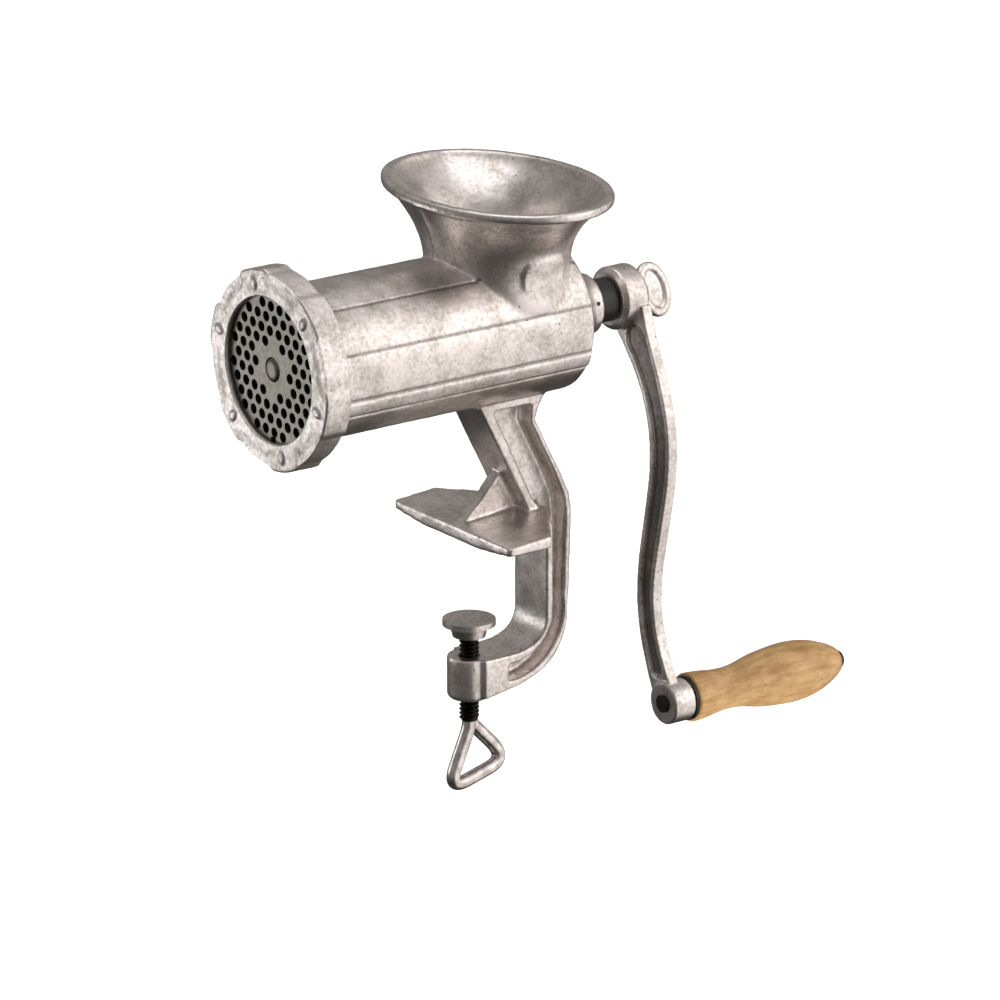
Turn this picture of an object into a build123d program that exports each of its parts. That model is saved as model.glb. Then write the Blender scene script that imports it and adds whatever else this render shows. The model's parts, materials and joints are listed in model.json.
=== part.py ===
"""Hand crank meat grinder for a table edge, one solid per real piece.

Frame: +Z up, barrel axis along Y, outlet at -Y and crank at +Y. The origin is on the underside
of the foot, on the axis of the clamp screw. Lengths are millimetres.
"""
import os
from math import cos, radians, sin, sqrt

from build123d import *

# ---- clearances ---------------------------------------------------------------------------
run_gap = 0.06          # radial running clearance of a shaft in its hole
key_gap = 0.15          # clearance of a square or a key in its slot
face_gap = 0.3          # axial clearance between faces that turn past each other
small = 0.01            # overlap that makes two features of one piece meet
edge_break = 1.5        # rounding or chamfer on the casting's edges

# ---- barrel -------------------------------------------------------------------------------
axis_z = 95.0           # height of the barrel axis over the foot's underside
plate_r = 35.0          # 70 mm hole plate, which the barrel and the ring nut fit
plate_ledge = 5.2       # width of the ledge that the plate's edge stands on
barrel_wall = 4.8
barrel_rear_y = 43.0    # rear end of the cylindrical part
boss_root_y = 58.0      # where the rear cone meets the bearing boss
boss_end_y = 65.0       # rear face of the bearing boss
boss_wall = 4.0         # wall of the bearing boss round the bush
rear_wall = 10.0        # from the end of the rear cone forward to the chamber's rear face
mouth_wall = 3.8        # from the plate's edge to the outside of the threaded mouth
mouth_length = 7.5      # length of the threaded mouth
mouth_slope = 3.5       # length of the slope from the mouth down to the barrel

# ---- hole plate and ring nut --------------------------------------------------------------
plate_thick = 7.0
plate_bore_r = 5.56     # centre hole for the stud
plate_hole_r = 2.375    # grinding holes
plate_hole_pitch = 6.5  # spacing of the hexagonal hole pattern
plate_margin = 4.0      # from the farthest hole centre to the plate's edge
plate_pattern_turn = 5.0
ring_front_y = -108.0   # front face of the ring nut
ring_length = 14.0
ring_lip = 3.5          # thickness of the lip that holds the plate
ring_cover = 2.5        # how far the lip covers the plate's edge
ring_wall = 4.6         # wall round the thread, between the lugs
ring_lug_height = 1.7
ring_lug_width = 21.0
ring_lugs = 6
ring_lug_turn = 75.0    # angle of the first lug from -X, over the top
key_pin_r = 1.8
key_pin_inset = 2.7     # from the plate's edge to the locating pin's axis
key_pin_depth = 6.0     # length pressed into the casting
key_pin_proud = 5.5     # length that stands in the plate's notch

# ---- feed screw ---------------------------------------------------------------------------
flight_gap = 0.6        # gap between the flight and the barrel
flight_pitch = 33.0
flight_thick = 5.0
flight_end_y = 34.0
core_front_r = 9.0
core_rear_r = 13.0
thrust_r = 19.5         # shoulder that runs on the thrust washer
thrust_thick = 2.0
shaft_r = 8.0           # journal in the rear bush
bush_wall = 2.0         # wall of the rear bush
bush_pin_r = 1.0        # pin that locks the bush
bush_pin_lean = 15.0    # turn of that pin above the level, degrees
bush_pin_bite = 1.0     # depth of that pin in the bush
bush_pin_back = 3.5     # from the boss's rear face to that pin
square_side = 11.0      # square that drives the crank
knife_thick = 6.5
knife_hub_r = 11.0
knife_blades = 4
knife_square = 10.0
stud_r = 5.5
stud_proud = 1.0        # domed tip of the stud in front of the plate
stud_depth = 20.0       # threaded length of the stud in the auger
stud_thread_r = 4.0

# ---- hopper: height over the barrel axis, half width in X, half length in Y ---------------
hopper_y = 15.5
hopper_wall = 4.2
hopper_sections = [
    (10.0, 32.5, 32.5),
    (29.0, 32.5, 32.5),
    (38.0, 34.6, 33.4),
    (46.5, 40.6, 35.6),
    (54.5, 49.6, 39.2),
    (61.0, 58.8, 43.2),
]
rim_x = 61.8
rim_y = 44.8
rim_z = 64.4            # top of the rim over the barrel axis
rim_band = 4.0          # depth of the rim's bead

# ---- leg, foot and clamp ------------------------------------------------------------------
leg_half = 12.5         # half width of the leg's flanges
web_half = 3.0          # half thickness of the web between them
foot_span = 88.0
foot_front_y = -10.0
foot_end_y = 13.0       # rear end of the foot's straight sides
foot_front_thick = 6.0
foot_rear_thick = 9.0
foot_rear_y = 30.0
foot_tip_lift = 2.2     # underside raised at the tips
foot_bearing = 46.0     # width of the flat that bears on the table
jaw_y = 34.0            # inner face of the clamp frame
arm_top_z = -57.0       # top of the lower arm at the clamp boss
clamp_boss_r = 10.0
clamp_boss_bottom_z = -77.0
screw_r = 4.5
screw_shank_end_z = -88.0
screw_tip_r = 3.2
pad_top_z = -40.0       # clamping face of the swivel pad
pad_thick = 8.0
pad_r = 12.0
pad_socket = 4.5        # depth of the pad's socket
clip_thick = 1.0        # ring that keeps the pad on the screw
loop_rod_r = 3.15

# ---- crank --------------------------------------------------------------------------------
hub_r = 14.4
hub_near_y = 76.0
hub_bevel = 2.2
hub_far_y = 90.7
arm_thick = 5.2
arm_web = 1.6           # thickness left between the two channels
channel_rim = 2.7       # width of the rim beside each channel
crank_x = 35.0          # grip axis from the hub axis, sideways
crank_drop = 183.0      # grip axis from the hub axis, downwards
arm_line = [            # centre line of the arm, sideways and down, for a drop of arm_line_drop
    (5.0, 7.0), (11.2, 18.0), (19.8, 33.0), (26.5, 50.0), (28.8, 70.0), (26.0, 92.0),
    (21.6, 114.0), (19.2, 134.0), (21.4, 152.0), (27.6, 169.0), (33.4, 180.0),
]
arm_line_drop = 183.0
arm_widths = [25.0, 19.4, 15.6, 14.6, 14.0, 13.2, 12.6, 12.2, 12.4, 13.4, 15.0]
eye_wall = 6.8          # wall of the boss that holds the grip's pin
eye_near_y = 82.8
eye_far_y = 94.4
thumb_thread_r = 3.9
thumb_thread_length = 15.0
thumb_washer_r = 8.6
thumb_washer_thick = 1.2
thumb_washer_gap = 0.4  # clearance of the washer round the thread
thumb_head_tall = 25.5
thumb_head_long = 17.5
thumb_band = 4.4        # width and thickness of the head's rim
thumb_web = 1.6         # thickness of the web inside the rim
thumb_collar_r = 6.0
thumb_lean = 27.0       # lean of the head from upright, degrees

# ---- grip ---------------------------------------------------------------------------------
grip_washer_r = 10.2
grip_washer_thick = 1.6
pin_r = 3.0
pin_head_rim = 1.1      # how far the pin's heads stand out past it
pin_head = 1.8
end_washer_rim = 1.8
end_washer_thick = 0.8
grip_profile = [        # distance along the grip, radius
    (0.0, 11.6), (8.0, 10.8), (18.0, 9.6), (28.0, 10.0), (41.0, 12.6),
    (58.0, 14.0), (70.0, 12.6), (79.0, 9.6), (86.0, 6.2),
]
grip_end_chamfer = 1.5

# ---- places that follow from the sizes above ----------------------------------------------
bore_r = plate_r - plate_ledge
barrel_r = bore_r + barrel_wall
mouth_r = plate_r + mouth_wall
ring_opening_r = plate_r - ring_cover
ring_base_r = mouth_r + ring_wall
ring_lug_r = ring_base_r + ring_lug_height
plate_pattern_r = plate_r - plate_margin
key_pin_at_r = plate_r - key_pin_inset
bush_r = shaft_r + bush_wall
boss_r = bush_r + boss_wall
eye_r = pin_r + eye_wall
pin_head_r = pin_r + pin_head_rim
end_washer_r = pin_r + end_washer_rim
bush_pin_y = boss_end_y - bush_pin_back
bush_pin_start = bush_r - bush_pin_bite
leg_top_z = axis_z - 25.0
plate_front_y = ring_front_y + ring_lip
plate_back_y = plate_front_y + plate_thick
mouth_front_y = plate_front_y + 1.0
mouth_back_y = mouth_front_y + mouth_length
knife_front_y = plate_back_y + face_gap
knife_back_y = knife_front_y + knife_thick
rear_face_y = boss_root_y - rear_wall
thrust_y = rear_face_y - thrust_thick - face_gap
rim_top = axis_z + rim_z
barrel_axis = Axis((0, 0, axis_z), (0, 1, 0))
grip_axis_z = axis_z - crank_drop
grip_start_y = eye_far_y + grip_washer_thick + face_gap
grip_length = grip_profile[-1][0]
grip_end_y = grip_start_y + grip_length


def across(y, x=0.0, z=axis_z):
    """Plane square to the barrel at y, seen from the crank: local x is -X, local y is +Z."""
    return Plane(origin=(x, y, z), x_dir=(-1, 0, 0), z_dir=(0, 1, 0))


def pin_plane(reach):
    """Plane square to the pin that locks the rear bush, at a distance from the barrel axis."""
    level, rise = cos(radians(bush_pin_lean)), sin(radians(bush_pin_lean))
    return Plane(
        origin=(reach * level, bush_pin_y, axis_z + reach * rise),
        x_dir=(0, 1, 0),
        z_dir=(level, 0, rise),
    )


def round_bar(radius, y_start, y_end, x=0.0, z=axis_z):
    """A cylinder along +Y between two places."""
    with BuildPart() as bar:
        with BuildSketch(across(y_start, x, z)):
            Circle(radius)
        extrude(amount=y_end - y_start)
    return bar.part


def save(item, node):
    """Name one finished piece and write it."""
    item.label = node
    export_step(item, "parts/" + node + ".step")


os.makedirs("parts", exist_ok=True)

# ---- foot: a wing plate that sits on the table --------------------------------------------
half_span = foot_span / 2
with BuildPart() as foot:
    with BuildSketch(Plane.YZ):
        with BuildLine():
            Polyline(
                (foot_front_y, 0),
                (foot_front_y, foot_front_thick),
                (foot_rear_y, foot_rear_thick),
                (jaw_y, foot_rear_thick),
                (jaw_y, 0),
                close=True,
            )
        make_face()
    extrude(amount=half_span, both=True)
    with BuildSketch(Plane.XY):
        with BuildLine():
            Polyline(
                (-half_span, foot_front_y),
                (half_span, foot_front_y),
                (half_span, foot_end_y),
                (leg_half, jaw_y),
                (-leg_half, jaw_y),
                (-half_span, foot_end_y),
                close=True,
            )
        make_face()
    extrude(amount=foot_rear_thick + small, mode=Mode.INTERSECT)
    with BuildSketch(Plane.XZ):
        with BuildLine():
            Polyline(
                (-foot_bearing / 2, 0),
                (foot_bearing / 2, 0),
                (half_span, foot_tip_lift),
                (half_span, foot_rear_thick),
                (-half_span, foot_rear_thick),
                (-half_span, foot_tip_lift),
                close=True,
            )
        make_face()
    extrude(amount=2 * foot_span, both=True, mode=Mode.INTERSECT)
    tip_edges = foot.edges().filter_by(Axis.Z).group_by(Axis.Y)[0]
    fillet(tip_edges, 2.5)

# ---- leg, clamp frame and lower arm: one H section that bends round the table edge ----------
frame_back = [
    (38.0, leg_top_z), (29.6, leg_top_z - 13.5), (27.8, leg_top_z - 19.0), (34.5, 37.6),
    (41.5, 24.6), (46.6, 13.4), (48.0, 4.0), (47.0, -24.0), (46.2, -40.0),
]
frame_sole = [(44.9, -50.5), (38.5, -62.5), (25.2, -70.6), (12.0, -73.6), (0.0, -75.5)]
arm_bend_y = 17.0
arm_bend = 14.0         # height of the bend from the lower arm into the upright
recess_y = jaw_y + 4.0  # front edge of the recess in the upright
recess_top_z = leg_top_z - 11.5
with BuildPart() as clamp_frame:
    with BuildSketch(Plane.YZ):
        with BuildLine():
            Polyline(*frame_back)
            Spline(frame_back[-1], *frame_sole)
            Polyline(frame_sole[-1], (0.0, arm_top_z), (arm_bend_y, arm_top_z))
            Spline(
                (arm_bend_y, arm_top_z),
                (jaw_y, arm_top_z + arm_bend),
                tangents=[(1, 0.1), (0, 1)],
            )
            Polyline(
                (jaw_y, arm_top_z + arm_bend),
                (jaw_y, 0.0),
                (22.0, 0.0),
                (24.0, 9.0),
                (-6.4, leg_top_z - 2.0),
                frame_back[0],
            )
        make_face()
    extrude(amount=leg_half, both=True)
    with BuildSketch(Plane.YZ.offset(web_half)) as recess:
        with BuildLine():
            Polyline(
                (4.9, recess_top_z),
                (26.6, 14.0),
                (recess_y, 0.0),
                (recess_y, -12.0),
                (recess_y, -44.0),
            )
            Spline((recess_y, -44.0), (29.0, -57.0), (13.5, -61.5))
            Polyline((13.5, -61.5), (13.5, -69.0))
            Spline((13.5, -69.0), (30.4, -64.6), (41.2, -52.0), (43.4, -36.0))
            Polyline(
                (43.4, -36.0),
                (44.6, 4.0),
                (43.4, 12.0),
                (38.4, 24.0),
                (25.2, recess_top_z - 8.7),
                (25.6, recess_top_z),
                (4.9, recess_top_z),
            )
        make_face()
    extrude(amount=leg_half, mode=Mode.SUBTRACT)
    mirrored = mirror(recess.sketch, about=Plane.YZ, mode=Mode.PRIVATE)
    extrude(mirrored, amount=leg_half, dir=(-1, 0, 0), mode=Mode.SUBTRACT)

# ---- gusset between the leg and the foot ----------------------------------------------------
gusset_half = 3.2
with BuildPart() as gusset:
    with BuildSketch(Plane.YZ):
        with BuildLine():
            Polyline(
                (foot_front_y + 2.5, foot_front_thick - 1.0),
                (4.0, 14.8),
                (15.0, 27.0),
                (24.0, 10.0),
                (24.0, 3.0),
                close=True,
            )
        make_face()
    extrude(amount=gusset_half, both=True)

# ---- boss of the clamp screw ------------------------------------------------------------------
with BuildPart() as clamp_boss:
    with BuildSketch(Plane.XY.offset(clamp_boss_bottom_z)):
        Circle(clamp_boss_r)
    extrude(amount=arm_top_z - clamp_boss_bottom_z)
    chamfer(clamp_boss.edges().group_by(Axis.Z)[0], edge_break)

# ---- body casting ---------------------------------------------------------------------------
plate_seat_r = plate_r + 0.2
with BuildPart() as body_casting:
    with BuildSketch(Plane.YZ):
        with BuildLine():
            Polyline(
                (mouth_front_y, axis_z),
                (mouth_front_y, axis_z + mouth_r),
                (mouth_back_y, axis_z + mouth_r),
                (mouth_back_y + mouth_slope, axis_z + barrel_r),
                (barrel_rear_y, axis_z + barrel_r),
                (boss_root_y, axis_z + boss_r + 1.0),
                (boss_root_y + 2.0, axis_z + boss_r),
                (boss_end_y, axis_z + boss_r),
                (boss_end_y, axis_z),
                close=True,
            )
        make_face()
    revolve(axis=barrel_axis)
    # hopper: a round neck that flares to an oval rim
    for height, half_x, half_y in hopper_sections:
        with BuildSketch(Plane((0, hopper_y, axis_z + height))):
            Ellipse(half_x, half_y)
    loft()
    with BuildSketch(Plane((0, hopper_y, rim_top - rim_band))) as rim_outline:
        Ellipse(rim_x, rim_y)
    extrude(amount=rim_band)
    rim_edges = body_casting.edges().group_by(Axis.Z)[-1]
    fillet(rim_edges, edge_break)
    add(foot.part)
    add(clamp_frame.part)
    add(gusset.part)
    add(clamp_boss.part)
    # barrel bore, knife chamber and rear cone
    with BuildSketch(Plane.YZ):
        with BuildLine():
            Polyline(
                (mouth_front_y - 1.0, axis_z),
                (mouth_front_y - 1.0, axis_z + plate_seat_r),
                (plate_back_y, axis_z + plate_seat_r),
                (plate_back_y, axis_z + bore_r),
                (barrel_rear_y - 5.0, axis_z + bore_r),
                (rear_face_y, axis_z + thrust_r + 1.5),
                (rear_face_y, axis_z),
                close=True,
            )
        make_face()
    revolve(axis=barrel_axis, mode=Mode.SUBTRACT)
    # inside of the hopper, through the top of the barrel
    for height, half_x, half_y in hopper_sections:
        with BuildSketch(Plane((0, hopper_y, axis_z + height))):
            Ellipse(half_x - hopper_wall, half_y - hopper_wall)
    with BuildSketch(Plane((0, hopper_y, rim_top + small))):
        Ellipse(rim_x - hopper_wall, rim_y - hopper_wall)
    loft(mode=Mode.SUBTRACT)
    # seat of the rear bush
    with BuildSketch(across(rear_face_y - small)):
        Circle(bush_r)
    extrude(amount=boss_end_y - rear_face_y + 2 * small, mode=Mode.SUBTRACT)
    # hole of the plate's locating pin
    with BuildSketch(across(plate_back_y, z=axis_z - key_pin_at_r)):
        Circle(key_pin_r)
    extrude(amount=key_pin_depth, mode=Mode.SUBTRACT)
    # hole of the pin that locks the rear bush
    with BuildSketch(pin_plane(0.0)):
        Circle(bush_pin_r)
    extrude(amount=boss_r + 1.0, mode=Mode.SUBTRACT)
    # threaded hole of the clamp screw
    with BuildSketch(Plane.XY.offset(clamp_boss_bottom_z - 1.0)):
        Circle(screw_r + run_gap)
    extrude(amount=arm_top_z - clamp_boss_bottom_z + 2.0, mode=Mode.SUBTRACT)
save(body_casting.part, "body_casting")

# ---- locating pin that keeps the hole plate from turning --------------------------------------
plate_key_pin = round_bar(
    key_pin_r,
    plate_back_y - key_pin_proud,
    plate_back_y + key_pin_depth,
    z=axis_z - key_pin_at_r,
)
save(plate_key_pin, "plate_key_pin")

# ---- rear bush and the pin that locks it --------------------------------------------------------
bush_end_y = hub_near_y - face_gap
with BuildPart() as rear_bush:
    with BuildSketch(across(rear_face_y)):
        Circle(bush_r)
        Circle(shaft_r + run_gap, mode=Mode.SUBTRACT)
    extrude(amount=bush_end_y - rear_face_y)
    with BuildSketch(pin_plane(bush_pin_start)):
        Circle(bush_pin_r)
    extrude(amount=2 * bush_pin_bite, mode=Mode.SUBTRACT)
save(rear_bush.part, "rear_bush")

with BuildPart() as bush_pin:
    with BuildSketch(pin_plane(bush_pin_start)):
        Circle(bush_pin_r)
    extrude(amount=boss_r - bush_pin_start)
save(bush_pin.part, "bush_pin")

# ---- thrust washer between the auger and the rear wall ------------------------------------------
with BuildPart() as thrust_washer:
    with BuildSketch(across(thrust_y)):
        Circle(thrust_r)
        Circle(shaft_r + run_gap, mode=Mode.SUBTRACT)
    extrude(amount=thrust_thick)
save(thrust_washer.part, "thrust_washer")

# ---- hole plate ---------------------------------------------------------------------------------
row_height = plate_hole_pitch * sqrt(3) / 2
rows = range(-6, 7)
lattice = [
    (plate_hole_pitch * (column + 0.5 * (row % 2)), row_height * row)
    for row in rows
    for column in rows
]
hole_places = [
    (x, z)
    for x, z in lattice
    if 1.9 * plate_hole_pitch < sqrt(x * x + z * z) < plate_pattern_r
]
with BuildPart() as hole_plate:
    with BuildSketch(across(plate_front_y)):
        Circle(plate_r)
        Circle(plate_bore_r, mode=Mode.SUBTRACT)
        with Locations((0, -key_pin_at_r - key_pin_r)):
            Rectangle(2 * (key_pin_r + key_gap), 4 * key_pin_r, mode=Mode.SUBTRACT)
    extrude(amount=plate_thick)
    with BuildSketch(across(plate_front_y - small)) as pattern:
        with Locations(Location((0, 0, 0), (0, 0, plate_pattern_turn))):
            with Locations(*hole_places):
                Circle(plate_hole_r)
    extrude(amount=plate_thick + 2 * small, mode=Mode.SUBTRACT)
save(hole_plate.part, "hole_plate")

# ---- ring nut -----------------------------------------------------------------------------------
with BuildPart() as ring_nut:
    with BuildSketch(across(ring_front_y)):
        Circle(ring_base_r)
        with PolarLocations(ring_base_r, ring_lugs, start_angle=ring_lug_turn):
            Rectangle(2 * (ring_lug_r - ring_base_r), ring_lug_width)
        Circle(ring_lug_r, mode=Mode.INTERSECT)
    extrude(amount=ring_length)
    outer_rims = ring_nut.edges().group_by(Axis.Y)[0] + ring_nut.edges().group_by(Axis.Y)[-1]
    chamfer(outer_rims, 0.8)
    with BuildSketch(across(ring_front_y - small)):
        Circle(ring_opening_r)
    extrude(amount=ring_length, mode=Mode.SUBTRACT)
    with BuildSketch(across(ring_front_y + ring_lip - face_gap / 3)):
        Circle(mouth_r + run_gap)
    extrude(amount=ring_length, mode=Mode.SUBTRACT)
save(ring_nut.part, "ring_nut")

# ---- stud that carries the knife and centres the plate --------------------------------------------
stud_tip_y = plate_front_y - stud_proud
with BuildPart() as worm_stud:
    with BuildSketch(Plane.YZ):
        with BuildLine():
            Polyline(
                (stud_tip_y + 2.0, axis_z),
                (knife_front_y, axis_z),
                (knife_front_y, axis_z + stud_r),
                (stud_tip_y + 2.0, axis_z + stud_r),
            )
            Polyline((stud_tip_y, axis_z), (stud_tip_y + 2.0, axis_z))
            Spline(
                (stud_tip_y, axis_z),
                (stud_tip_y + 2.0, axis_z + stud_r),
                tangents=[(0, 1), (1, 0.25)],
            )
        make_face()
    revolve(axis=barrel_axis)
    with BuildSketch(across(knife_front_y)):
        Rectangle(knife_square, knife_square)
    extrude(amount=knife_thick)
    with BuildSketch(across(knife_back_y - small)):
        Circle(stud_thread_r)
    extrude(amount=stud_depth)
save(worm_stud.part, "worm_stud")

# ---- four-bladed knife ------------------------------------------------------------------------------
blade_tip_r = bore_r - flight_gap
blade_width = 9.0
with BuildPart() as cutting_knife:
    with BuildSketch(across(knife_front_y)):
        Circle(knife_hub_r)
        with PolarLocations(blade_tip_r / 2, knife_blades, start_angle=20):
            Rectangle(blade_tip_r, blade_width)
        Circle(blade_tip_r, mode=Mode.INTERSECT)
        Rectangle(knife_square, knife_square, mode=Mode.SUBTRACT)
    extrude(amount=knife_thick)
    with BuildSketch(across(knife_front_y)):
        with PolarLocations((blade_tip_r + knife_hub_r) / 2, knife_blades, start_angle=20):
            with Locations((0, blade_width / 2)):
                Rectangle(blade_tip_r - knife_hub_r - 2.0, 3.0)
    extrude(amount=2.2, mode=Mode.SUBTRACT)
save(cutting_knife.part, "cutting_knife")

# ---- auger: tapering core, helical flight, thrust shoulder, journal and square ----------------------
flight_r = bore_r - flight_gap
flight_bury = 3.0       # depth of the flight's root inside the core
flight_root_r = core_front_r + flight_bury / 2
core_start_y = knife_back_y
flight_start_y = core_start_y + 3.0
square_end_y = hub_far_y - 2.0
core_rear_y = flight_end_y + flight_pitch / 8
flight_length = flight_end_y - flight_start_y
flight_path = Helix(
    pitch=flight_pitch,
    height=flight_length,
    radius=flight_root_r,
    center=(0, flight_start_y, axis_z),
    direction=(0, 1, 0),
)
with BuildPart() as auger:
    with BuildSketch(Plane.YZ):
        with BuildLine():
            Polyline(
                (core_start_y, axis_z),
                (core_start_y, axis_z + core_front_r),
                (core_rear_y, axis_z + core_rear_r),
                (thrust_y - 6.0, axis_z + thrust_r),
                (thrust_y, axis_z + thrust_r),
                (thrust_y, axis_z + shaft_r),
                (hub_near_y, axis_z + shaft_r),
                (hub_near_y, axis_z),
                close=True,
            )
        make_face()
    revolve(axis=barrel_axis)
    with BuildSketch(across(hub_near_y - small)):
        Rectangle(square_side, square_side)
    extrude(amount=square_end_y - hub_near_y + small)
    with BuildSketch(across(core_start_y)):
        Circle(stud_thread_r)
    extrude(amount=stud_depth, mode=Mode.SUBTRACT)
    with BuildSketch(across(square_end_y + small)):
        Circle(thumb_thread_r + run_gap)
    extrude(amount=-(thumb_thread_length + 4.0), mode=Mode.SUBTRACT)
flight_foot = flight_path @ 0
flight_out = Vector(flight_foot.X, 0, flight_foot.Z - axis_z).normalized()
flight_plane = Plane(origin=flight_foot, x_dir=flight_out, z_dir=(flight_path % 0))
with BuildPart() as flight:
    with BuildSketch(flight_plane):
        with Locations(((flight_r - flight_root_r) / 2 - flight_bury / 2, 0)):
            Rectangle(flight_r - flight_root_r + flight_bury, flight_thick)
    sweep(path=flight_path, binormal=Edge.make_line((0, 0, axis_z), (0, 1, axis_z)))
with BuildPart() as auger_whole:
    add(auger.part)
    add(flight.part)
save(auger_whole.part, "auger")

# ---- crank: hub, S-shaped arm with a channel on each side, and the eye for the grip's pin ------------
arm_near_y = 84.0
arm_far_y = arm_near_y + arm_thick
arm_line = [(sideways, down * crank_drop / arm_line_drop) for sideways, down in arm_line]


def arm_edge(side, inset=0.0, first=0, last=len(arm_line)):
    """Points of one edge of the arm: the centre line moved square to itself by half its width."""
    points = []
    for i in range(first, last):
        before = arm_line[max(i - 1, 0)]
        after = arm_line[min(i + 1, len(arm_line) - 1)]
        along = Vector(after[0] - before[0], after[1] - before[1]).normalized()
        half = (arm_widths[i] / 2 - inset) * side
        points.append((-arm_line[i][0] - along.Y * half, -arm_line[i][1] + along.X * half))
    return points


def arm_outline(inset, first, last):
    """Closed outline of the arm, drawn in from its edges by inset."""
    one = arm_edge(1, inset, first, last)
    other = arm_edge(-1, inset, first, last)
    with BuildSketch() as outline:
        with BuildLine():
            Spline(*one)
            Line(one[-1], other[-1])
            Spline(*other)
            Line(other[0], one[0])
        make_face()
    return outline.sketch


with BuildPart() as crank_arm:
    with BuildSketch(across(hub_near_y)):
        Circle(hub_r)
    extrude(amount=hub_far_y - hub_near_y)
    chamfer(crank_arm.edges().filter_by(GeomType.CIRCLE), hub_bevel)
    with BuildSketch(across(arm_near_y)):
        add(arm_outline(0.0, 0, len(arm_line)))
    extrude(amount=arm_thick)
    with BuildSketch(across(eye_near_y, crank_x, grip_axis_z)):
        Circle(eye_r)
    extrude(amount=eye_far_y - eye_near_y)
    for floor_y, direction in ((arm_near_y - small, 1), (arm_far_y + small, -1)):
        with BuildSketch(across(floor_y)):
            add(arm_outline(channel_rim, 1, len(arm_line) - 1))
            for place in (1, len(arm_line) - 2):
                with Locations((-arm_line[place][0], -arm_line[place][1])):
                    Circle(arm_widths[place] / 2 - channel_rim)
        extrude(amount=direction * (arm_thick - arm_web) / 2, mode=Mode.SUBTRACT)
    with BuildSketch(across(hub_near_y - small)):
        Rectangle(square_side + 2 * key_gap, square_side + 2 * key_gap)
    extrude(amount=hub_far_y - hub_near_y + 2 * small, mode=Mode.SUBTRACT)
    with BuildSketch(across(eye_near_y - small, crank_x, grip_axis_z)):
        Circle(pin_r)
    extrude(amount=eye_far_y - eye_near_y + 2 * small, mode=Mode.SUBTRACT)
save(crank_arm.part, "crank_arm")

# ---- thumb screw and its washer ------------------------------------------------------------------------
thumb_washer_y = hub_far_y
with BuildPart() as thumb_screw_washer:
    with BuildSketch(across(thumb_washer_y)):
        Circle(thumb_washer_r)
        Circle(thumb_thread_r + thumb_washer_gap, mode=Mode.SUBTRACT)
    extrude(amount=thumb_washer_thick)
save(thumb_screw_washer.part, "thumb_screw_washer")

thumb_head_y = thumb_washer_y + thumb_washer_thick + face_gap
thumb_neck = 2.2
thumb_plane = Plane(
    origin=(0, thumb_head_y + thumb_neck + thumb_head_long / 2 - 1.0, axis_z),
    x_dir=(0, 1, 0),
    z_dir=(cos(radians(thumb_lean)), 0, sin(radians(thumb_lean))),
)
with BuildPart() as thumb_screw:
    with BuildSketch(thumb_plane):
        Ellipse(thumb_head_long / 2, thumb_head_tall / 2)
    extrude(amount=thumb_band / 2, both=True)
    for side in (1, -1):
        with BuildSketch(thumb_plane.offset(side * thumb_web / 2)):
            Ellipse(thumb_head_long / 2 - thumb_band, thumb_head_tall / 2 - thumb_band)
        extrude(amount=side * thumb_band, mode=Mode.SUBTRACT)
    with BuildSketch(across(thumb_head_y)):
        Circle(thumb_collar_r)
    extrude(amount=thumb_neck)
    with BuildSketch(across(thumb_head_y + small)):
        Circle(thumb_thread_r)
    extrude(amount=-thumb_thread_length)
save(thumb_screw.part, "thumb_screw")

# ---- grip: turned wood on a riveted pin ------------------------------------------------------------------
with BuildPart() as wooden_grip:
    with BuildSketch(Plane.YZ.offset(crank_x)):
        with BuildLine():
            outline = [(grip_start_y + along, grip_axis_z + radius) for along, radius in grip_profile]
            inner = grip_axis_z + pin_r + run_gap
            Spline(*outline)
            Polyline(outline[-1], (grip_end_y, inner), (grip_start_y, inner), outline[0])
        make_face()
    revolve(axis=Axis((crank_x, 0, grip_axis_z), (0, 1, 0)))
    grip_ends = wooden_grip.edges().group_by(Axis.Y)
    fillet(grip_ends[-1].sort_by(SortBy.RADIUS)[-1], grip_end_chamfer)
save(wooden_grip.part, "wooden_grip")

with BuildPart() as grip_washer:
    with BuildSketch(across(eye_far_y, crank_x, grip_axis_z)):
        Circle(grip_washer_r)
        Circle(pin_r + run_gap, mode=Mode.SUBTRACT)
    extrude(amount=grip_washer_thick)
save(grip_washer.part, "grip_washer")

end_washer_y = grip_end_y + face_gap
with BuildPart() as grip_end_washer:
    with BuildSketch(across(end_washer_y, crank_x, grip_axis_z)):
        Circle(end_washer_r)
        Circle(pin_r, mode=Mode.SUBTRACT)
    extrude(amount=end_washer_thick)
save(grip_end_washer.part, "grip_end_washer")

pin_head_y = end_washer_y + end_washer_thick
rivet_head = 1.0
with BuildPart() as grip_pin:
    with BuildSketch(across(eye_near_y - rivet_head, crank_x, grip_axis_z)):
        Circle(pin_head_r)
    extrude(amount=rivet_head)
    with BuildSketch(across(eye_near_y - small, crank_x, grip_axis_z)):
        Circle(pin_r)
    extrude(amount=pin_head_y - eye_near_y + 2 * small)
    with BuildSketch(across(pin_head_y, crank_x, grip_axis_z)):
        Circle(pin_head_r)
    extrude(amount=pin_head)
    fillet(grip_pin.edges().group_by(Axis.Y)[-1], 1.2)
save(grip_pin.part, "grip_pin")

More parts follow.
